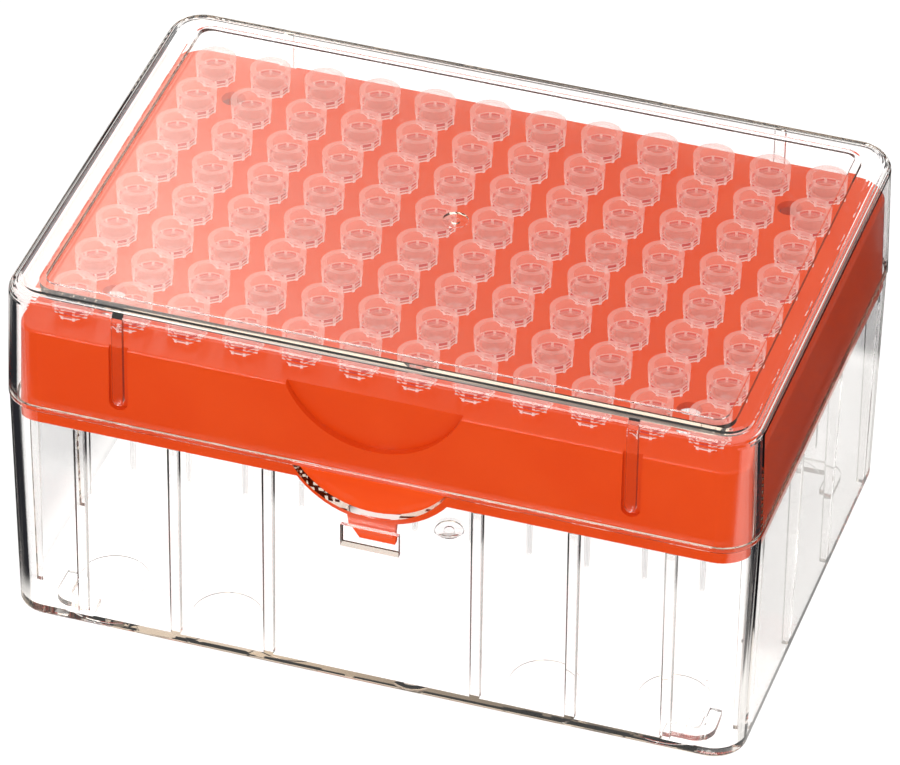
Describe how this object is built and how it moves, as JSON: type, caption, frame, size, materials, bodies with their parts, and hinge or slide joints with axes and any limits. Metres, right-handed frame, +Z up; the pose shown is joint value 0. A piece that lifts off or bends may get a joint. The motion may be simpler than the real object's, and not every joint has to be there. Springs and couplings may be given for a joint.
{
  "type": "box of pipette tips",
  "caption": "Clear box with a tray of small pipette tips on a 9 mm grid, under a clear lift-off lid, with a finger notch at the front.",
  "frame": {"origin": "under the middle of the box, on the plane that its stacking feet stand on", "axes": "+X along the long side, +Y to the back, +Z up; the finger notch and the catch window are at the front, -Y"},
  "size_m": [0.118, 0.0816, 0.0617],
  "materials": {
    "clear_base": "clear, polished injection-moulded polystyrene",
    "clear_lid": "clear, polished injection-moulded polystyrene",
    "orange_tray": "opaque orange polypropylene, satin gloss",
    "tip_plastic": "natural translucent polypropylene"
  },
  "bodies": {
    "box": {"base_box": "clear_base", "tip_tray": "orange_tray", "tips_column_01": "tip_plastic", "tips_column_02": "tip_plastic", "tips_column_03": "tip_plastic", "tips_column_04": "tip_plastic", "tips_column_05": "tip_plastic", "tips_column_06": "tip_plastic", "tips_column_07": "tip_plastic", "tips_column_08": "tip_plastic", "tips_column_09": "tip_plastic", "tips_column_10": "tip_plastic", "tips_column_11": "tip_plastic", "tips_column_12": "tip_plastic"},
    "lid": {"lid": "clear_lid"}
  },
  "joints": [
    {"name": "lid_lift", "type": "slide", "parent": "box", "child": "lid", "axis": [0, 0, 1], "range_m": [0, 0.06]}
  ]
}
